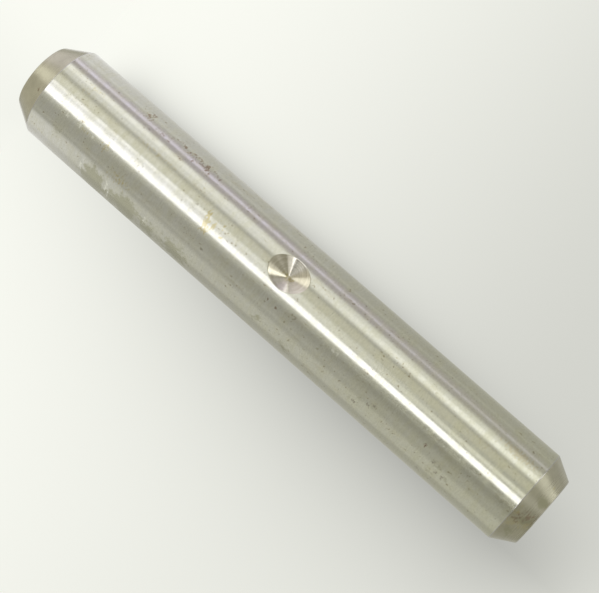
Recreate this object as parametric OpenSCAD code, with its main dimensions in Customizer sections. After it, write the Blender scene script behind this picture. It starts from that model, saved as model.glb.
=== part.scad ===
// Cylinder shaft: a ground steel pin that stands on its lower end face, axis along +Z.
// Both ends are turned to long lead-in chamfers with broken corners, and a drill point
// at mid-length gives a set screw its seat. The seat opens towards +X.

/* [Shaft] */
// Ground outer diameter, on which a bore runs
shaft_d = 16; // [10:0.5:40]
// Overall length, from end face to end face
shaft_len = 101.5; // [40:0.5:300]

/* [Lead-in chamfers] */
// Slope of the lower chamfer, measured from the shaft's axis
lower_chamfer_angle = 30; // [10:1:55]
// Length of the lower chamfer along the shaft
lower_chamfer_len = 3.9; // [1:0.05:8]
// Slope of the upper chamfer, measured from the shaft's axis
upper_chamfer_angle = 30; // [10:1:55]
// Length of the upper chamfer along the shaft
upper_chamfer_len = 3.55; // [1:0.05:8]

/* [Broken corners] */
// Radius where a chamfer meets the ground diameter
shoulder_radius = 0.25; // [0.05:0.05:1]
// Radius where a chamfer meets its end face
face_radius = 0.2; // [0.05:0.05:1]

/* [Set-screw seat] */
// Width of the drilled seat along the shaft, at the surface
seat_width = 7; // [2:0.5:9]
// Point angle of the drill that cut the seat
seat_angle = 118; // [82:1:140]
// Height of the seat above the middle of the shaft
seat_offset = 0; // [-15:0.5:15]

/* [Hidden] */
$fn = 180;
shaft_r = shaft_d / 2;
lower_face_r = shaft_r - lower_chamfer_len * tan(lower_chamfer_angle);
upper_face_r = shaft_r - upper_chamfer_len * tan(upper_chamfer_angle);
seat_z = shaft_len / 2 + seat_offset;
seat_slope = tan(seat_angle / 2);
seat_depth = seat_width / 2 / seat_slope;
cutter_overrun = 2;

// Unit vector from one point of an outline towards another
function heading(from, to) = (to - from) / norm(to - from);

// Half the angle between the two sides that meet at a corner
function half_angle(before, corner, after) =
    acos(heading(corner, before) * heading(corner, after)) / 2;

// The two points where an arc that rounds a corner leaves its sides
function arc_ends(before, corner, after, radius) =
    let (reach = radius / tan(half_angle(before, corner, after)))
    [corner + reach * heading(corner, before), corner + reach * heading(corner, after)];

// The centre of that arc
function arc_centre(before, corner, after, radius) =
    let (inward = heading([0, 0], heading(corner, before) + heading(corner, after)))
    corner + inward * radius / sin(half_angle(before, corner, after));

// A convex outline whose inner corners, from the second to the last but one, are rounded:
// each is cut off between the ends of its arc, and a circle then fills the arc
module rounded_outline(points, radii) {
    last = len(points) - 1;
    polygon([
        points[0],
        for (i = [1:last - 1])
            each arc_ends(points[i - 1], points[i], points[i + 1], radii[i - 1]),
        points[last]
    ]);
    for (i = [1:last - 1])
        translate(arc_centre(points[i - 1], points[i], points[i + 1], radii[i - 1]))
            circle(r = radii[i - 1]);
}

// Half section of the shaft: x is the radius and y the height above the lower end face
module half_section() {
    rounded_outline(
        points = [
            [0, 0],
            [lower_face_r, 0],
            [shaft_r, lower_chamfer_len],
            [shaft_r, shaft_len - upper_chamfer_len],
            [upper_face_r, shaft_len],
            [0, shaft_len]
        ],
        radii = [face_radius, shoulder_radius, shoulder_radius, face_radius]
    );
}

// The drill's point, its tip at the bottom of the seat, carried on past the shaft's surface
module seat_cutter() {
    cutter_len = seat_depth + cutter_overrun;
    translate([shaft_r - seat_depth, 0, seat_z])
        rotate([0, 90, 0])
            cylinder(h = cutter_len, r1 = 0, r2 = cutter_len * seat_slope);
}

// The whole shaft, turned and ground from one bar
module shaft() {
    color([0.71, 0.70, 0.64])
        difference() {
            rotate_extrude() half_section();
            seat_cutter();
        }
}

shaft();
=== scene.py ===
"""Looks of the cylinder shaft in the photograph: a worn ground steel pin, with turned
chamfers at its ends and a drilled set-screw seat at mid-length.

Lengths are in millimetres, angles in degrees, and heights are above the lower end face.
A bearing is measured round the shaft's axis from +X, where the seat is, towards +Y.
"""

import math

import bpy
import numpy as np
from mathutils import Matrix, Vector


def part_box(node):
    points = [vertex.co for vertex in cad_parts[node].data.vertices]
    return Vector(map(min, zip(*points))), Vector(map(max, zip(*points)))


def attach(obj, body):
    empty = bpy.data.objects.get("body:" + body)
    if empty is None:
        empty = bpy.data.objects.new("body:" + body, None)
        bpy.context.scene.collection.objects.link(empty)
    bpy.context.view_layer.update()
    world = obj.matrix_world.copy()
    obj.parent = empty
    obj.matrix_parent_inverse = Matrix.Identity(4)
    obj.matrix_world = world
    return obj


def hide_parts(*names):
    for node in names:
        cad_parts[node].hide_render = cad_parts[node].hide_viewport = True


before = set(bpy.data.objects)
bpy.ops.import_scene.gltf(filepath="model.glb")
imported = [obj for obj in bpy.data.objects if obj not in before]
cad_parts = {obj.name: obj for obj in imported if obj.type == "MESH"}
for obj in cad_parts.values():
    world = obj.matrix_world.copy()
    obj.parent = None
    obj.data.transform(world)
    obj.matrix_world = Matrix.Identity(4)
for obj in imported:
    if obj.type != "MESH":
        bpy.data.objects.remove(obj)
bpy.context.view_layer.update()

MM = 0.001

# The shaft, from its CAD box and the sizes of its chamfers and seat
box_low, box_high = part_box("shaft")
RADIUS = (box_high.x - box_low.x) / 2 / MM
LENGTH = box_high.z / MM
CHAMFER_ANGLE = 30
LOWER_CHAMFER = 3.9
UPPER_CHAMFER = 3.55
SHOULDER_RADIUS = 0.25
FACE_RADIUS = 0.2
SEAT_HEIGHT = LENGTH / 2
SEAT_WIDTH = 7
SEAT_ANGLE = 118
SEAT_RIM_BLEND = 0.02

# Tool marks that are deep enough to be in the mesh: pitch and depth. The share of its depth that
# each turn reaches is random, from the shallowest to all of it
TURNING_MARKS = (0.34, 0.0055)
FACING_MARKS = (0.8, 0.004)
DRILL_MARKS = (0.29, 0.007)
GROUND_SMOOTH = (1, 0)
DRILL_SEED = 9
SHALLOWEST_TURN = 0.35
TURNS = 64

# The mesh: its columns round the shaft, and the steps between its rings
COLUMNS = 192
BODY_STEP = 0.36
CHAMFER_STEP = TURNING_MARKS[0] / 4
FACE_STEP = FACING_MARKS[0] / 2
SEAT_STEP = DRILL_MARKS[0] / 4
CORNER_STEPS = 5

# The window that is cut in the turned mesh for the seat: how far it reaches each way, the rings
# of the apron from its edge to the seat's rim and how they crowd there, and the steps of the rim
WINDOW_COLUMNS = 15
WINDOW_RINGS = 15
APRON_RINGS = 12
APRON_CROWDING = 1.4
RIM_STEPS = (0.05, 0.025, 0.01)

# Blemishes: height, bearing, reach along the shaft, reach round it, strength. They follow the
# photograph on the side that it shows, and are made up on the side that it doesn't.
# Brown specks of rust
RUST = (
    (23.3, -33.6, 0.4, 0.5, 0.7),
    (25, -37, 0.4, 0.5, 0.7),
    (26, -35.2, 0.8, 0.5, 0.65),
    (28, -31, 0.3, 1.4, 0.6),
    (29.2, -34.2, 0.5, 0.4, 0.6),
    (30.4, -33, 0.5, 1.1, 0.85),
    (20.8, -30, 0.3, 0.3, 0.55),
    (22.4, -34, 0.3, 0.3, 0.55),
    (24.2, -36, 0.3, 0.35, 0.6),
    (26.9, -33.5, 0.35, 0.4, 0.65),
    (27.6, -36.5, 0.35, 0.35, 0.65),
    (28.7, -37, 0.5, 0.35, 0.65),
    (29.6, -30.5, 0.3, 0.5, 0.6),
    (31.8, -35.5, 0.35, 0.35, 0.6),
    (32.4, -33, 0.3, 0.3, 0.55),
    (30.9, -37, 0.4, 0.5, 0.6),
    (31.3, -26.5, 0.3, 0.4, 0.6),
    (33.1, -31.7, 0.3, 0.5, 0.6),
    (18.6, -37, 1, 1.5, 0.5),
    (22, -25.5, 0.6, 0.5, 0.6),
    (23.3, -24.6, 0.4, 0.4, 0.6),
    (26.5, -17.5, 0.4, 0.6, 0.55),
    (21.9, -14.1, 0.5, 0.4, 0.5),
    (19.3, -16.7, 0.3, 0.3, 0.5),
    (52.5, 38, 0.25, 0.3, 0.9),
    (50.7, 36, 0.2, 0.3, 0.8),
    (82.3, 42, 0.25, 0.8, 0.8),
    (100.4, 31, 1.5, 1.5, 0.56),
    (99.2, 38, 1.2, 1.6, 0.48),
    (3, 30, 0.4, 0.4, 0.6),
    (60, 160, 9, 3, 0.28),
    (84, -120, 5, 4, 0.3),
    (14, 215, 4, 3.5, 0.3),
)

# Golden stains
GOLD = (
    (35.9, 9, 0.5, 0.9, 0.8),
    (36.3, 18, 0.6, 1.6, 0.8),
    (37, 25, 0.5, 0.7, 0.8),
    (37.6, 14, 0.35, 1.5, 0.7),
    (38.8, 10, 0.35, 0.8, 0.6),
    (39.6, 20, 0.5, 0.5, 0.6),
    (17, 28, 1.2, 1.2, 0.5),
    (21.5, 46, 2.8, 1.5, 0.47),
    (32.5, -9, 0.6, 0.8, 0.5),
    (50.75, 0, 1.3, 1.3, 0.6),
    (100.2, -20, 0.4, 0.6, 0.45),
    (98.6, 32, 0.6, 1.6, 0.5),
    (40, 130, 5, 3, 0.42),
    (72, 200, 4, 5, 0.4),
)

# Dull olive patches, one of which is partly painted shade
OLIVE = (
    (17.6, 77, 2.9, 3.3, 1),
    (21, 79, 2, 2.8, 0.8),
    (24.2, 77, 3, 3.3, 1),
    (29, 78, 3.4, 3, 0.62),
    (34.5, 76, 3.6, 2.9, 0.75),
    (31.9, 63, 0.9, 0.8, 0.6),
    (50.9, 67, 1.3, 1.2, 0.65),
    (56.8, 75, 1.6, 1.5, 0.65),
    (8.9, 50, 2, 1.6, 0.35),
    (99.5, 62, 1.2, 2, 0.6),
    # This long, narrow patch is partly olive stain and partly painted shade: it darkens a bright
    # band that the steel reflects here
    (96.3, 31, 3.2, 0.75, 0.7),
    (100.6, 5, 1, 1.2, 0.95),
    (100.3, 34, 1.3, 1.6, 0.75),
    (59.5, 53, 0.5, 0.5, 0.7),
    (61.2, 41, 0.5, 0.5, 0.6),
    (86.5, 60, 3.5, 2, 0.42),
    (70.5, 60, 2, 1.5, 0.4),
    (30, 175, 7, 4, 0.5),
    (76, 150, 6, 3.5, 0.5),
    (66, -95, 8, 3, 0.45),
    (90, 245, 3, 5, 0.5),
)

# Faint, soft yellowing
TINGE = (
    (93.5, -16.5, 5, 1.2, 0.65),
    (88, 0, 6, 1, 0.4),
    (24, -3.5, 8, 0.6, 0.5),
    (9, -3, 3, 0.6, 0.45),
    (13.2, 29, 4, 0.8, 0.45),
    (22, 45, 4, 1.2, 0.45),
    (10, -14, 4, 1, 0.4),
    (18.6, -36, 1.6, 1.8, 0.5),
    (27.5, -34, 4, 1.6, 0.45),
    (100.4, 40, 1.6, 1.8, 0.75),
    (98.8, 46, 1.2, 1.4, 0.65),
    (70, 20, 9, 0.8, 0.4),
    (55, 140, 9, 4, 0.5),
    (30, -120, 7, 3, 0.5),
)

# Small dark pits
PITS = (
    (73.1, 48.5, 0.41, 0.45, 0.8),
    (72.1, 52.5, 0.34, 0.45, 0.72),
    (70.1, 63, 0.61, 0.39, 0.72),
    (84.7, 52, 0.34, 0.39, 0.64),
    (85.9, 62, 0.41, 0.45, 0.72),
    (87.1, 62, 0.41, 0.65, 0.64),
    (83.2, 78, 0.54, 0.52, 0.56),
    (38.2, 43.5, 0.34, 0.45, 0.6),
    (19.2, 43.5, 0.81, 0.26, 0.48),
    (26.5, 51, 0.34, 0.33, 0.48),
    (22.6, 19, 0.2, 0.45, 0.6),
    (23.5, 17, 0.2, 0.45, 0.52),
    (27.5, 18, 0.2, 0.39, 0.52),
    (31.2, 16, 0.2, 0.39, 0.52),
    (59.2, -38, 0.41, 0.65, 0.48),
    (33.5, 8.5, 0.2, 0.45, 0.64),
    (7.5, 10, 0.27, 0.26, 0.48),
    (12, 6, 0.2, 0.33, 0.48),
    (57, -150, 0.47, 0.52, 0.72),
    (21, 120, 0.41, 0.65, 0.64),
    (79, 190, 0.54, 0.39, 0.72),
)

# Small bright nicks and scratches
NICKS = (
    (9.3, 29, 0.3, 0.4, 1),
    (11.8, 29, 0.35, 0.45, 1),
    (14.5, 29, 0.25, 0.35, 0.9),
    (17.4, 28, 0.25, 0.3, 0.8),
    (81, 28, 0.3, 0.3, 0.7),
    (84.5, 29, 0.6, 0.3, 0.6),
    (87.4, 28, 0.3, 0.4, 0.7),
    (90.2, 29, 0.5, 0.3, 0.6),
    (93, 28, 0.3, 0.3, 0.65),
    (63.1, 31, 0.35, 0.35, 1),
    (64, 31, 0.3, 0.3, 0.9),
    (14.9, 68, 0.35, 2, 0.65),
    (20.2, 68, 0.35, 1.8, 0.8),
    (20.8, 77, 0.35, 1.4, 0.75),
    (28.2, 68, 0.3, 1.4, 0.65),
    (45, 150, 1.8, 0.15, 0.7),
    (70, -100, 0.2, 2.2, 0.7),
)

# The camera: bearing, distance from the axis, height, what it aims at, and its roll
CAMERA_BEARING = 14.1
CAMERA_DISTANCE = 271.03
CAMERA_HEIGHT = 94.08
AIM_HEIGHT = 52.98
AIM_ASIDE = -0.404
CAMERA_ROLL = 131.17
LENS = 108.69
SENSOR = 36

# Surfaces of the shaft, in the order of its materials
SURFACES = ("body", "chamfer", "edge", "face", "seat")

# Blemishes by the name of their mesh attribute, and how deep the dents among them are
BLEMISHES = {
    "tinge": TINGE,
    "olive": OLIVE,
    "gold": GOLD,
    "rust": RUST,
    "pit": PITS,
    "nick": NICKS,
}
DENT_DEPTHS = {"pit": 0.015, "nick": 0.012}

# Steel: the darkest and lightest tones of each surface, and how far its gloss is drawn out
STEEL_DARK = (0.583, 0.58, 0.533, 1)
STEEL_LIGHT = (0.638, 0.635, 0.588, 1)
CHAMFER_DARK = (0.475, 0.463, 0.4, 1)
CHAMFER_LIGHT = (0.6, 0.585, 0.505, 1)
EDGE_DARK = (0.5, 0.49, 0.5, 1)
EDGE_LIGHT = (0.62, 0.61, 0.63, 1)
SEAT_DARK = (0.54, 0.51, 0.45, 1)
SEAT_LIGHT = (0.72, 0.69, 0.63, 1)
ANISOTROPY = 0.7

# Tints over the ground diameter: what each follows comes up between two values, and there the
# colour below is multiplied by the tint
TINTS = {
    "mottle": (0.35, 0.7, (0.985, 0.98, 0.925, 1)),
    "height": (0.3 * LENGTH, LENGTH, (0.985, 0.99, 0.92, 1)),
    "clouds": (0.5, 0.75, (0.97, 0.955, 0.915, 1)),
    "specks": (0.7, 0.79, (0.64, 0.6, 0.53, 1)),
}

# Roughness of each surface where it is smoothest and roughest
ROUGHNESS = {
    "body": (0.15, 0.21),
    "chamfer": (0.26, 0.34),
    "edge": (0.2, 0.3),
    "face": (0.3, 0.4),
    "seat": (0.17, 0.23),
}

# Noises in the steel: features to a millimetre along each axis, detail, roughness. A noise does
# most of its work in a middle range of its values
LINES = ((0.1, 0.1, 5), 2, 0.5)
MOTTLE = ((0.3, 0.3, 0.7), 3, 0.6)
SPECKLE = ((1.8, 1.8, 4.5), 2, 0.6)
CLOUDS = ((0.8, 0.8, 0.25), 3, 0.65)
DOTS = ((2.4, 2.4, 2.4), 1, 0.5)
FINE_STAIN = ((1.6, 1.6, 4), 2, 0.6)
COARSE_STAIN = ((0.9, 0.9, 0.9), 3, 0.6)
MARK_DRIFT = ((0.3, 0.3, 0.3), 2, 0.5)
MARK_LINES = ((4, 4, 4), 3, 0.7)
TURNED_MOTTLE = ((0.5, 0.5, 0.5), 3, 0.6)
WIDE_RANGE = (0.3, 0.7)
NARROW_RANGE = (0.35, 0.65)

# The share of speckle in the ground grain, how far specks gather in the clouds, the share of tool
# marks in a turned tone, how far they wander, and how much faster they pass up a slope
SPECKLE_SHARE = 0.7
SPECK_GATHERING = 0.5
MARK_SHARE = 0.6
MARK_WANDER = 0.15
MARKS_UPWARD = 2

# Heights of the finest relief, which is left to the materials
MOTTLE_RELIEF = 0.006
SPECKLE_RELIEF = 0.0026
MARK_RELIEF = 0.002

# Stains: attribute, colour, how ragged its edge is, whether its grain is fine, added roughness
STAINS = (
    ("tinge", (0.56, 0.53, 0.4, 1), 1.1, True, 0.0),
    ("olive", (0.455, 0.45, 0.355, 1), 1.3, False, 0.08),
    ("gold", (0.54, 0.49, 0.32, 1), 1.5, True, 0.02),
    ("rust", (0.35, 0.29, 0.23, 1), 1.55, True, 0.08),
    ("pit", (0.38, 0.36, 0.3, 1), 1.7, True, 0.08),
    ("nick", (0.76, 0.76, 0.69, 1), 1.5, True, 0.0),
)

# The axes that tool marks run round: a point on it, the directions across it, and the direction
# along it, which the marks also follow
ROUND_Z = {"centre": (0, 0, 0), "across": (1, 1, 0), "axis": (0, 0, 1)}
ROUND_X = {"centre": (RADIUS, 0, SEAT_HEIGHT), "across": (0, 1, 1), "axis": (0, 0, 0)}

# The room: its plain tone, and the tones of its floor and ceiling
ROOM_TONE = (0.525, 0.52, 0.46, 1)
NADIR = (0.66, 0.63, 0.5, 1)
NADIR_FADE = (-25, -55)
ZENITH = (0.43, 0.42, 0.33, 1)
ZENITH_FADE = (5, 35)

# Soft panels in the room, which the steel reflects as bands. Each has the bearing of its middle
# at eye level, how far that leans with each degree of elevation, its half width, the softness of
# its sides, its lowest and highest elevation, the softness of those, its brightness and its tint.
# A brightness below 0 darkens the room behind it
COOL = (1, 1, 1.1)
CLEAR = (1, 1, 1)
PLAIN = (1, 1, 0.9)
WARM = (1.04, 1, 0.76)
LILAC = (1.05, 1, 1.35)
MAUVE = (1.3, 0.6, 2)
PANELS = {
    "window": (29, 0.1, 6.8, 2, -11.2, 14, 2, 1.5, COOL),
    "low_window": (20, 0, 16, 2, -30, -12.5, 2.5, 0.85, COOL),
    "window_side": (27, 0, 9, 8, -30, -15, 4, 0.8, COOL),
    "window_glow": (36, 0, 10, 12, -30, -4, 8, 0.2, PLAIN),
    "wall": (14, 0, 5.5, 3, -14, 14, 3, 0.37, PLAIN),
    "wall_side": (5.5, 0, 4, 3, -14, -4, 5, 0.32, PLAIN),
    "pane": (13.5, 0, 2.5, 3, -0.5, 14, 2, 0.5, CLEAR),
    "line": (4.5, 0.1, 2, 3, -10, -4.5, 2, 0.25, CLEAR),
    "curtain": (-8, 0, 9, 5, -30, 14, 6, 0.21, WARM),
    "low_wall": (-1, 0, 11, 6, -30, -12, 4, 0.25, PLAIN),
    "low_floor": (-10, 0, 20, 6, -30, -11, 4, 0.12, PLAIN),
    "door": (-35.6, 0.15, 13.5, 10, -30, 14, 6, 0.48, CLEAR),
    "door_light": (-31.5, 0.3, 5.8, 5, -6.7, 14, 2.5, 0.48, CLEAR),
    "low_light": (-43, 0, 6, 5, -30, -13, 8, 0.45, CLEAR),
    "lamp": (-66.5, 0, 2.6, 6, -30, 14, 4, 0.24, LILAC),
    "lamp_wall": (-66, 0, 15, 5, -30, -3, 8, 0.05, MAUVE),
    "lamp_spot": (-69, 0, 4, 5, -13, -9.5, 2, 0.5, LILAC),
    "low_lamp": (-69, 0, 5, 4, -30, -15, 4, 0.35, LILAC),
    "right_floor": (-131, 0, 46, 8, -30, -9, 6, 0.17, COOL),
    "right_light": (-130, 0, 53, 6, -30, -17.5, 4, 0.4, COOL),
    "shelf": (-92, 0, 2.5, 5, -30, 14, 8, 0.08, PLAIN),
    "left_wall": (113, 0, 19, 12, -25, 14, 8, 0.14, PLAIN),
    "left_post": (79, 0, 3, 5, -30, -7, 4, 0.08, PLAIN),
    "left_floor": (134, 0, 44, 10, -30, -17.5, 4, 0.45, COOL),
    "window_top": (44, 0, 4, 3, 8.5, 18, 3, 2.9, CLEAR),
    "lamp_above": (-56, 0, 9, 6, 26, 42, 8, 2.1, PLAIN),
    "high_wall": (-110, 0, 35, 30, 15, 50, 15, 0.08, COOL),
    "lamp_glow": (-50, 0, 13, 12, 40, 60, 10, 0.75, PLAIN),
    "skylight": (12, 0, 14, 16, 50, 74, 12, 0.3, CLEAR),
    "low_bulb": (-77, 0, 9, 6, -36, -25, 5, 1.0, CLEAR),
    "blind": (38, 0, 7, 4, 17, 36, 5, 0.8, CLEAR),
    "floor_light": (0, 0, 30, 20, -78, -61, 8, 1.1, PLAIN),
    "ceiling": (194, 0, 120, 60, 66, 95, 12, 0.4, PLAIN),
    "pink_floor": (-74, 0, 46, 30, -68, -38, 10, 0.3, LILAC),
    "dark_gap": (42.5, 0, 3, 3, -3, 5, 4, -0.3, CLEAR),
    "dark_board": (57, 0.2, 9, 22, -9, 14, 8, -0.14, PLAIN),
    "dark_beam": (66, 0, 24, 20, 46, 72, 12, -0.2, PLAIN),
}

# The stage: how far it reaches, its paper's colour, and how much of that is seen at its own plain
# tone rather than as lit
STAGE_REACH = 1500
PAPER = (0.99, 1, 0.935, 1)
PAPER_SHARE = 0.93

# The paper on each side of the shaft, with painted light and shade: a painted falloff makes it
# darker higher up, and a painted shadow darkens it close to the shaft. The side, its tone at the
# top, how dark the painted shadow is, how far it reaches, and where it comes and goes
PAINTED_SHADOWS = (
    (1, 0.84, 0.45, 13, (-20, 70), (130, 95)),
    (-1, 0.67, 0.36, 2.5, (2, 12), (115, 35)),
)


# ---------------------------------------------------------------- outline of the shaft


def unit(vector):
    """A vector's direction."""
    return np.asarray(vector, float) / np.linalg.norm(vector)


def straight(start, end, step):
    """Points of a line from its start to just before its end, at most a step apart."""
    count = max(1, math.ceil(math.dist(start, end) / step))
    share = np.arange(count)[:, None] / count
    return (1 - share) * np.array(start) + share * np.array(end)


def rounded(before, corner, after, radius):
    """Points of the arc that rounds a corner, both ends included."""
    corner = np.array(corner)
    back, ahead = unit(before - corner), unit(after - corner)
    half = math.acos(back @ ahead) / 2
    centre = corner + unit(back + ahead) * radius / math.sin(half)
    first = corner + back * radius / math.tan(half) - centre
    last = corner + ahead * radius / math.tan(half) - centre
    sweep = math.pi - 2 * half
    turn = np.linspace(0, sweep, CORNER_STEPS)[:, None]
    return centre + (np.sin(sweep - turn) * first + np.sin(turn) * last) / math.sin(sweep)


def tool_marks(distance, pitch, depth, seed):
    """Depth of even grooves along a cut, which are deeper in some turns than in others."""
    turns = np.random.default_rng(seed).uniform(SHALLOWEST_TURN, 1, TURNS)
    wander = np.interp(distance / pitch, np.arange(TURNS), turns)
    return depth * wander * (0.5 - 0.5 * np.cos(2 * math.pi * distance / pitch))


def outline():
    """Radius and height of each ring of the shaft, from the centre of its lower face to the
    centre of its upper one, and the name of the surface that starts at each ring."""
    slope = math.tan(math.radians(CHAMFER_ANGLE))
    corners = [
        (0, 0),
        (RADIUS - LOWER_CHAMFER * slope, 0),
        (RADIUS, LOWER_CHAMFER),
        (RADIUS, LENGTH - UPPER_CHAMFER),
        (RADIUS - UPPER_CHAMFER * slope, LENGTH),
        (0, LENGTH),
    ]
    radii = (FACE_RADIUS, SHOULDER_RADIUS, SHOULDER_RADIUS, FACE_RADIUS)
    arcs = [rounded(*corners[i : i + 3], radius) for i, radius in enumerate(radii)]
    starts = [corners[0]] + [arc[-1] for arc in arcs]
    ends = [arc[0] for arc in arcs] + [corners[-1]]
    surfaces = ("face", "chamfer", "body", "chamfer", "face")
    steps = {"face": FACE_STEP, "chamfer": CHAMFER_STEP, "body": BODY_STEP}
    marks = {"face": FACING_MARKS, "chamfer": TURNING_MARKS, "body": GROUND_SMOOTH}
    rings, names = [], []
    for i, (start, end, surface) in enumerate(zip(starts, ends, surfaces)):
        points = straight(start, end, steps[surface])
        inward = unit((start[1] - end[1], end[0] - start[0]))
        grooves = tool_marks(np.linalg.norm(points - start, axis=1), *marks[surface], i)
        rings.append(points + grooves[:, None] * inward)
        names += [surface] * len(points)
        if i < len(arcs):
            rings.append(arcs[i][:-1])
            names += ["edge"] * (CORNER_STEPS - 1)
    rings.append(np.array([corners[-1]]))
    return np.vstack(rings), names


# ---------------------------------------------------------------- mesh


def turned(rings):
    """The outline turned round the axis: points, and the number of each by ring and column.
    The rings at the two ends are single points."""
    bearings = np.arange(COLUMNS) * math.tau / COLUMNS
    points = np.stack(
        (
            np.outer(rings[:, 0], np.cos(bearings)),
            np.outer(rings[:, 0], np.sin(bearings)),
            np.repeat(rings[:, 1:], COLUMNS, axis=1),
        ),
        axis=2,
    ).reshape(-1, 3)
    numbers = np.arange(len(points)).reshape(-1, COLUMNS)
    numbers[0] = numbers[0, 0]
    numbers[-1] = numbers[-1, 0]
    return points, numbers


def band(loop, following):
    """Faces between two closed loops of points."""
    return np.stack((loop, np.roll(loop, -1), np.roll(following, -1), following), axis=1)


def seat_reach(turn):
    """Distance from the seat's axis to its rim, at an angle round that axis from +Y."""
    rise = 1 / math.tan(math.radians(SEAT_ANGLE / 2))
    tip = RADIUS - SEAT_WIDTH / 2 * rise
    a = rise**2 + np.cos(turn) ** 2
    return (np.sqrt((tip * rise) ** 2 + a * (RADIUS**2 - tip**2)) - tip * rise) / a


def seat_surface(aside, above):
    """X of the shaft's surface in and round the seat, with the seat's rim softly broken."""
    reach = np.hypot(aside, above)
    rise = 1 / math.tan(math.radians(SEAT_ANGLE / 2))
    grooves = tool_marks(reach, *DRILL_MARKS, DRILL_SEED)
    cone = RADIUS + (reach - SEAT_WIDTH / 2) * rise - grooves
    wall = np.sqrt(RADIUS**2 - aside**2)
    return -SEAT_RIM_BLEND * np.logaddexp(-wall / SEAT_RIM_BLEND, -cone / SEAT_RIM_BLEND)


def seat_loops(edge):
    """Loops of points from just inside the edge of the window in the turned surface, over the
    seat's rim and down to its tip."""
    aside, above = edge[:, 1], edge[:, 2] - SEAT_HEIGHT
    turn = np.arctan2(above, aside)
    rim = seat_reach(turn)
    closeness = np.linspace(1, 0, APRON_RINGS)[:, None] ** APRON_CROWDING
    apron = (np.hypot(aside, above) - rim) * closeness
    cone_rings = math.ceil(SEAT_WIDTH / 2 / SEAT_STEP)
    cone = (rim - RIM_STEPS[-1]) * np.linspace(1, 0, cone_rings)[:, None]
    steps = np.array(RIM_STEPS)[:, None]
    reach = np.vstack((rim + apron[1:-1], rim + steps, rim - steps[::-1], cone[1:]))
    aside, above = reach * np.cos(turn), reach * np.sin(turn)
    return np.stack((seat_surface(aside, above), aside, above + SEAT_HEIGHT), axis=2)


def cover(points, marks):
    """How strongly marks cover each point: their strength at the middle, fading to 0."""
    bearing = np.degrees(np.arctan2(points[:, 1], points[:, 0]))
    total = np.zeros(len(points))
    for height, centre, along, around, strength in marks:
        up = (points[:, 2] - height) / along
        aside = np.radians((bearing - centre + 180) % 360 - 180) * RADIUS / around
        total = np.maximum(total, strength * np.exp(-(up**2) - aside**2))
    return total


def shaft_mesh():
    """Points and faces of the whole shaft, and the number of each face's material."""
    rings, names = outline()
    points, numbers = turned(rings)
    middle = int(np.argmin(np.abs(rings[:, 1] - SEAT_HEIGHT)))
    low, high, side = middle - WINDOW_RINGS, middle + WINDOW_RINGS, WINDOW_COLUMNS
    faces, materials = [], []
    for i, name in enumerate(names):
        strip = band(numbers[i], numbers[i + 1])
        if low <= i < high:
            strip = strip[side:-side]
        faces.append(strip)
        materials += [SURFACES.index(name)] * len(strip)
    edge = np.concatenate(
        (
            numbers[low:high, side],
            numbers[high, np.arange(side, -side, -1)],
            numbers[high:low:-1, -side],
            numbers[low, np.arange(-side, side)],
        )
    )
    loops = seat_loops(points[edge])
    rim_loop = APRON_RINGS - 2 + len(RIM_STEPS)
    loop = edge
    for i, ring in enumerate(loops):
        following = len(points) + np.arange(len(edge))
        if i == len(loops) - 1:
            following[:] = following[0]
        points = np.vstack((points, ring))
        faces.append(band(loop, following))
        materials += [SURFACES.index("seat" if i > rim_loop else "body")] * len(edge)
        loop = following
    used, corners = np.unique(np.vstack(faces), return_inverse=True)
    return points[used], corners.reshape(-1, 4), materials


def face_normals(points, faces):
    """Normal of each face, as long as twice its area."""
    corner = points[faces]
    return np.cross(corner[:, 2] - corner[:, 0], corner[:, 3] - corner[:, 1])


def point_normals(points, faces):
    """Normal at each point, in which larger faces count for more."""
    total = np.zeros_like(points)
    for i in range(4):
        np.add.at(total, faces[:, i], face_normals(points, faces))
    return total / np.linalg.norm(total, axis=1)[:, None]


def make_shaft(materials):
    """The shaft as one mesh, with its blemishes as dents and as attributes."""
    points, faces, surfaces = shaft_mesh()
    covers = {name: cover(points, marks) for name, marks in BLEMISHES.items()}
    sunk = sum(DENT_DEPTHS[name] * covers[name] for name in DENT_DEPTHS)
    points = points - sunk[:, None] * point_normals(points, faces)
    mesh = bpy.data.meshes.new("shaft_body")
    mesh.from_pydata(points * MM, [], [list(dict.fromkeys(face)) for face in faces.tolist()])
    for name in SURFACES:
        mesh.materials.append(materials[name])
    mesh.polygons.foreach_set("material_index", surfaces)
    mesh.polygons.foreach_set("use_smooth", [True] * len(faces))
    for name, values in covers.items():
        attribute = mesh.attributes.new(name, "FLOAT", "POINT")
        attribute.data.foreach_set("value", values)
    mesh.normals_split_custom_set_from_vertices(point_normals(points, faces))
    shaft = bpy.data.objects.new("shaft_body", mesh)
    bpy.context.collection.objects.link(shaft)
    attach(shaft, "root")
    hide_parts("shaft")
    return shaft


# ---------------------------------------------------------------- nodes


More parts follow.
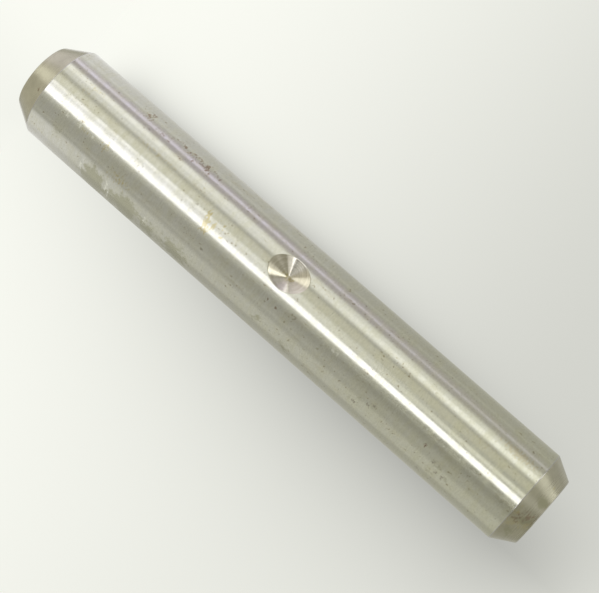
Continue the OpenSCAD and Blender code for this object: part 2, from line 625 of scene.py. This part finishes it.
class Nodes:
    """Short calls that add nodes to a tree. Each returns the new node's output socket."""

    def __init__(self, owner):
        owner.use_nodes = True
        self.tree = owner.node_tree
        self.tree.nodes.clear()

    def add(self, kind, inputs, output=0, **settings):
        made = self.tree.nodes.new("ShaderNode" + kind)
        for name, value in settings.items():
            setattr(made, name, value)
        for key, value in inputs.items():
            if isinstance(value, bpy.types.NodeSocket):
                self.tree.links.new(value, made.inputs[key])
            else:
                made.inputs[key].default_value = value
        return made.outputs[output] if made.outputs else None

    def math(self, operation, *values):
        return self.add("Math", dict(enumerate(values)), operation=operation)

    def vector(self, operation, *values, output=0):
        return self.add("VectorMath", dict(enumerate(values)), output, operation=operation)

    def scaled(self, vector, amount):
        """A vector times a number."""
        return self.add("VectorMath", {0: vector, "Scale": amount}, operation="SCALE")

    def rise(self, value, low, high):
        """0 below low, 1 above high, and smooth between; from 1 to 0 if low is above high."""
        limits = {"Value": value, "From Min": low, "From Max": high}
        return self.add("MapRange", limits, interpolation_type="SMOOTHSTEP")

    def between(self, value, first, second):
        """The number that is first where value is 0 and second where it is 1."""
        return self.add("MapRange", {"Value": value, "To Min": first, "To Max": second})

    def noise(self, vector, stretch, detail=2, roughness=0.5):
        """Noise about 0.5, with so many features to a millimetre along each axis."""
        place = self.vector("MULTIPLY", vector, stretch)
        inputs = {"Vector": place, "Scale": 1, "Detail": detail, "Roughness": roughness}
        return self.add("TexNoise", inputs)

    def mix(self, factor, first, second, blend="MIX"):
        """One colour over another."""
        settings = {"data_type": "RGBA", "blend_type": blend}
        return self.add("Mix", {"Factor": factor, 6: first, 7: second}, 2, **settings)

    def attribute(self, name):
        return self.add("Attribute", {}, "Fac", attribute_name=name)

    def bump(self, height, distance, normal=None):
        inputs = {"Height": height, "Distance": distance * MM}
        if normal is not None:
            inputs["Normal"] = normal
        return self.add("Bump", inputs)


# ---------------------------------------------------------------- steel


def millimetres(nodes):
    """Where a point is on the shaft, in millimetres."""
    return nodes.scaled(nodes.add("TexCoord", {}, "Object"), 1 / MM)


def finish_steel(nodes, colour, roughness, normal, tangent):
    """The steel's shader, whose gloss is drawn out along the tangent, across its tool marks."""
    shader = nodes.add(
        "BsdfPrincipled",
        {
            "Base Color": colour,
            "Metallic": 1,
            "Roughness": roughness,
            "Anisotropic": ANISOTROPY,
            "Normal": normal,
            "Tangent": tangent,
        },
    )
    nodes.add("OutputMaterial", {"Surface": shader})


def stained(nodes, place, colour, rough):
    """A colour and a roughness with the stains over them."""
    fine = nodes.noise(place, *FINE_STAIN)
    coarse = nodes.noise(place, *COARSE_STAIN)
    for name, tint, ragged, is_fine, dull in STAINS:
        grain = nodes.math("SUBTRACT", fine if is_fine else coarse, 0.5)
        strength = nodes.math("MULTIPLY_ADD", grain, ragged, nodes.attribute(name))
        amount = nodes.rise(strength, *NARROW_RANGE)
        colour = nodes.mix(amount, colour, tint)
        rough = nodes.math("MULTIPLY_ADD", amount, dull, rough)
    return colour, rough


def ground_steel():
    """The ground diameter: faint lines round the shaft, mottling, tarnish, specks and stains."""
    material = bpy.data.materials.new("ground_steel")
    nodes = Nodes(material)
    place = millimetres(nodes)
    lines = nodes.noise(place, *LINES)
    mottle = nodes.noise(place, *MOTTLE)
    speckle = nodes.noise(place, *SPECKLE)
    clouds = nodes.noise(place, *CLOUDS)
    dots = nodes.noise(place, *DOTS)
    cloudy = nodes.math("SUBTRACT", clouds, 0.5)
    followed = {
        "mottle": mottle,
        "height": nodes.add("SeparateXYZ", {0: place}).node.outputs[2],
        "clouds": clouds,
        "specks": nodes.math("MULTIPLY_ADD", cloudy, SPECK_GATHERING, dots),
    }
    grain = nodes.add("Mix", {"Factor": SPECKLE_SHARE, 2: lines, 3: speckle})
    colour = nodes.mix(nodes.rise(grain, *WIDE_RANGE), STEEL_DARK, STEEL_LIGHT)
    for name, (low, high, tint) in TINTS.items():
        tinted = nodes.mix(1, colour, tint, "MULTIPLY")
        colour = nodes.mix(nodes.rise(followed[name], low, high), colour, tinted)
    rough = nodes.between(nodes.rise(mottle, *WIDE_RANGE), *ROUGHNESS["body"])
    colour, rough = stained(nodes, place, colour, rough)
    normal = nodes.bump(mottle, MOTTLE_RELIEF)
    normal = nodes.bump(speckle, SPECKLE_RELIEF, normal)
    upward = nodes.add("CombineXYZ", {2: 1})
    finish_steel(nodes, colour, rough, normal, upward)
    return material


def turned_steel(name, dark, light, roughness, ring):
    """A turned or drilled surface, whose marks run round an axis through the middle."""
    material = bpy.data.materials.new(name)
    nodes = Nodes(material)
    place = millimetres(nodes)
    offset = nodes.vector("SUBTRACT", place, ring["centre"])
    outward = nodes.vector("MULTIPLY", offset, ring["across"])
    reach = nodes.vector("LENGTH", outward, output="Value")
    height = nodes.vector("DOT_PRODUCT", place, ring["axis"], output="Value")
    along = nodes.math("MULTIPLY_ADD", height, MARKS_UPWARD, reach)
    drift = nodes.math("MULTIPLY", nodes.noise(place, *MARK_DRIFT), MARK_WANDER)
    marks = nodes.add("CombineXYZ", {0: nodes.math("ADD", along, drift)})
    lines = nodes.noise(marks, *MARK_LINES)
    mottle = nodes.math("MULTIPLY", nodes.noise(place, *TURNED_MOTTLE), 1 - MARK_SHARE)
    tone = nodes.math("MULTIPLY_ADD", lines, MARK_SHARE, mottle)
    colour = nodes.mix(nodes.rise(tone, *NARROW_RANGE), dark, light)
    rough = nodes.between(nodes.rise(lines, *WIDE_RANGE), *roughness)
    colour, rough = stained(nodes, place, colour, rough)
    normal = nodes.bump(lines, MARK_RELIEF)
    finish_steel(nodes, colour, rough, normal, outward)
    return material


def steels():
    """The material of each surface of the shaft."""
    turned = {
        "chamfer": ("turned_steel", CHAMFER_DARK, CHAMFER_LIGHT, ROUND_Z),
        "edge": ("worn_edge", EDGE_DARK, EDGE_LIGHT, ROUND_Z),
        "face": ("faced_steel", CHAMFER_DARK, CHAMFER_LIGHT, ROUND_Z),
        "seat": ("drilled_steel", SEAT_DARK, SEAT_LIGHT, ROUND_X),
    }
    made = {"body": ground_steel()}
    for surface, (name, dark, light, ring) in turned.items():
        made[surface] = turned_steel(name, dark, light, ROUGHNESS[surface], ring)
    return made


# ---------------------------------------------------------------- surroundings


def light_world():
    """A pale room with soft panels round the shaft, which its steel reflects as bands."""
    world = bpy.data.worlds.new("soft_room")
    bpy.context.scene.world = world
    nodes = Nodes(world)
    direction = nodes.add("TexCoord", {}, "Generated")
    split = nodes.add("SeparateXYZ", {0: direction}).node.outputs
    bearing = nodes.math("DEGREES", nodes.math("ARCTAN2", split[1], split[0]))
    elevation = nodes.math("DEGREES", nodes.math("ARCSINE", split[2]))
    total = nodes.mix(nodes.rise(elevation, *NADIR_FADE), ROOM_TONE, NADIR)
    total = nodes.mix(nodes.rise(elevation, *ZENITH_FADE), total, ZENITH)
    for middle, lean, half, soft, lowest, highest, fade, brightness, tint in PANELS.values():
        centre = nodes.math("MULTIPLY_ADD", elevation, lean, middle)
        offset = nodes.math("WRAP", nodes.math("SUBTRACT", bearing, centre), 180, -180)
        sides = nodes.rise(nodes.math("ABSOLUTE", offset), half + soft / 2, half - soft / 2)
        foot = nodes.rise(elevation, lowest - fade / 2, lowest + fade / 2)
        head = nodes.rise(elevation, highest + fade / 2, highest - fade / 2)
        light = nodes.math("MULTIPLY", sides, nodes.math("MULTIPLY", foot, head))
        tone = nodes.scaled(tint, nodes.math("MULTIPLY", light, brightness))
        total = nodes.vector("ADD", total, tone)
    nodes.add("OutputWorld", {"Surface": nodes.add("Background", {"Color": total})})


def board(name, corners, material):
    """A flat board of the stage."""
    mesh = bpy.data.meshes.new(name)
    mesh.from_pydata([corner * MM for corner in corners], [], [(0, 1, 2, 3)])
    mesh.materials.append(material)
    made = bpy.data.objects.new(name, mesh)
    bpy.context.collection.objects.link(made)
    return made


def paper_painted_shading(nodes, aside):
    """How light the paper is, from 0 to 1: a painted shadow of the shaft on each side of it, and
    a painted falloff that darkens the paper up the shaft.
    """
    place = millimetres(nodes)
    height = nodes.add("SeparateXYZ", {0: place}).node.outputs[2]
    offset = nodes.vector("DOT_PRODUCT", place, aside, output="Value")
    tones = []
    for side, painted_top_tone, depth, reach, coming, going in PAINTED_SHADOWS:
        # Painted shadow of the shaft on this side, fading with the distance beyond its silhouette
        away = nodes.math("MULTIPLY", offset, side)
        beyond = nodes.math("MAXIMUM", nodes.math("SUBTRACT", away, RADIUS), 0)
        fall = nodes.math("EXPONENT", nodes.math("DIVIDE", beyond, -reach))
        span = nodes.math("MULTIPLY", nodes.rise(height, *coming), nodes.rise(height, *going))
        shade = nodes.math("MULTIPLY", nodes.math("MULTIPLY", fall, span), depth)
        # Painted falloff: the paper darkens from its plain tone at the foot to its tone at the
        # top
        plain = nodes.between(nodes.rise(height, 0, LENGTH), 1, painted_top_tone)
        tone = nodes.math("MULTIPLY", plain, nodes.math("SUBTRACT", 1, shade))
        tones.append(nodes.math("MULTIPLY", tone, nodes.rise(away, -RADIUS, RADIUS)))
    return nodes.math("ADD", *tones)


def paper(name, one_sided, aside):
    """Pale paper with the painted shadow and painted falloff, seen from one side or both."""
    material = bpy.data.materials.new(name)
    nodes = Nodes(material)
    colour = nodes.scaled(PAPER[:3], paper_painted_shading(nodes, aside))
    path = nodes.add("LightPath", {}).node.outputs
    seen = nodes.math("ADD", path["Is Camera Ray"], path["Is Glossy Ray"])
    seen = nodes.math("ADD", seen, path["Is Transmission Ray"])
    share = nodes.math("MULTIPLY", seen, PAPER_SHARE)
    lit = nodes.add("BsdfDiffuse", {"Color": colour})
    plain = nodes.add("Emission", {"Color": colour})
    shader = nodes.add("MixShader", {0: share, 1: lit, 2: plain})
    if one_sided:
        behind = nodes.add("NewGeometry", {}, "Backfacing")
        clear = nodes.add("BsdfTransparent", {})
        shader = nodes.add("MixShader", {0: behind, 1: shader, 2: clear})
    nodes.add("OutputMaterial", {"Surface": shader})
    return material


def make_stage(facing, aside):
    """The floor that the shaft stands on, and the sheet that it leans back against."""
    reach = STAGE_REACH
    up = Vector((0, 0, 1))
    floor = board(
        "floor",
        [Vector((x * reach, y * reach, 0)) for x, y in ((-1, -1), (1, -1), (1, 1), (-1, 1))],
        paper("floor_paper", False, aside),
    )
    floor.visible_glossy = False
    back = -facing * RADIUS
    sheet = board(
        "sheet",
        [
            back - aside * reach,
            back + aside * reach,
            back + aside * reach + up * reach,
            back - aside * reach + up * reach,
        ],
        paper("sheet_paper", True, aside),
    )
    for ray in ("diffuse", "glossy", "transmission", "shadow"):
        setattr(sheet, "visible_" + ray, False)


def make_camera(facing, aside):
    """The photograph's camera, which is held close to the shaft and tilted."""
    place = (facing * CAMERA_DISTANCE + Vector((0, 0, CAMERA_HEIGHT))) * MM
    aim = (aside * AIM_ASIDE + Vector((0, 0, AIM_HEIGHT))) * MM
    camera = bpy.data.cameras.new("camera")
    camera.lens = LENS
    camera.sensor_width = SENSOR
    made = bpy.data.objects.new("camera", camera)
    bpy.context.collection.objects.link(made)
    level = (aim - place).to_track_quat("-Z", "Y").to_matrix()
    turn = level @ Matrix.Rotation(math.radians(CAMERA_ROLL), 3, "Z")
    made.matrix_world = Matrix.Translation(place) @ turn.to_4x4()
    bpy.context.scene.camera = made


camera_turn = math.radians(CAMERA_BEARING)
facing = Vector((math.cos(camera_turn), math.sin(camera_turn), 0))
aside = Vector((-facing.y, facing.x, 0))
make_shaft(steels())
light_world()
make_stage(facing, aside)
make_camera(facing, aside)
bpy.context.scene.view_settings.view_transform = "Standard"
